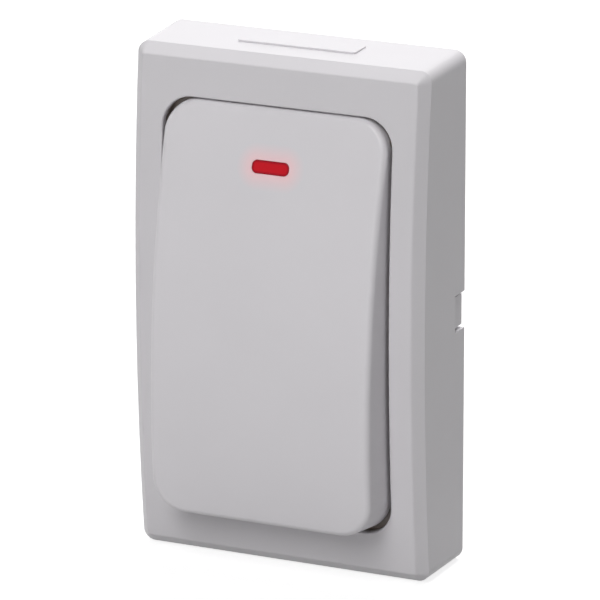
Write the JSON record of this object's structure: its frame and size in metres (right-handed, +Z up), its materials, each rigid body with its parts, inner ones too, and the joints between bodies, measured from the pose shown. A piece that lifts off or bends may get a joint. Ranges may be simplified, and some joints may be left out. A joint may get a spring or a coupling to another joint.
{
  "type": "wireless doorbell button",
  "caption": "White wall-mounted wireless bell push with a large sprung rocker, a red indicator window and a clip-on back plate.",
  "frame": {"origin": "centre of the rear face, on the wall", "axes": "+Y into the wall, so the rocker faces -Y; +Z up; +X to the right of someone facing the button"},
  "size_m": [0.0516, 0.0238, 0.0859],
  "materials": {
    "case_white": "fine moulded satin",
    "rocker_white": "fine moulded satin",
    "lens_red": "translucent red, polished",
    "plate_white": "fine moulded satin",
    "board_green": "solder mask over glass-fibre board",
    "switch_black": "moulded black",
    "switch_steel": "bright rolled",
    "led_red": "clear moulded resin",
    "tinned_wire": "tinned",
    "battery_jacket": "printed shrink jacket, left plain",
    "contact_nickel": "nickel-plated",
    "spring_steel": "bright drawn wire",
    "chip_black": "moulded epoxy",
    "can_metal": "drawn can, nickel-plated",
    "enamel_copper": "enamelled copper wire",
    "capacitor_tan": "fired ceramic",
    "capacitor_sleeve": "shrink sleeve",
    "screw_steel": "zinc-plated"
  },
  "bodies": {
    "case": {"front_housing": "case_white", "back_plate": "plate_white", "circuit_board": "board_green", "switch_body": "switch_black", "switch_cover": "switch_steel", "switch_legs": "tinned_wire", "indicator_led": "led_red", "led_leads": "tinned_wire", "battery": "battery_jacket", "positive_contact": "contact_nickel", "negative_contact": "contact_nickel", "negative_spring": "spring_steel", "return_spring_left": "spring_steel", "return_spring_right": "spring_steel", "encoder_chip": "chip_black", "chip_pins": "tinned_wire", "resonator_can": "can_metal", "antenna_coil": "enamel_copper", "transistor": "chip_black", "resistors": "chip_black", "capacitors": "capacitor_tan", "supply_capacitor": "capacitor_sleeve", "supply_capacitor_leads": "tinned_wire", "board_screws": "screw_steel"},
    "rocker": {"rocker": "rocker_white", "indicator_lens": "lens_red"},
    "switch_stem": {"switch_stem": "switch_black"}
  },
  "joints": [
    {"name": "rocker_hinge", "type": "hinge", "parent": "case", "child": "rocker", "pos_m": [0, -0.0142, 0.0305], "axis": [1, 0, 0], "range_deg": [0, 1.2], "stiffness_Nm_per_rad": 0.5, "springref_deg": -5.73, "deforming": ["return_spring_left", "return_spring_right"]},
    {"name": "switch_stem_slide", "type": "slide", "parent": "case", "child": "switch_stem", "axis": [0, 1, 0], "range_m": [0, 0.00055], "stiffness_N_per_m": 20}
  ],
  "couplings": [
    {"joint": "switch_stem_slide", "follows": "rocker_hinge", "m_per_rad": 0.025}
  ]
}
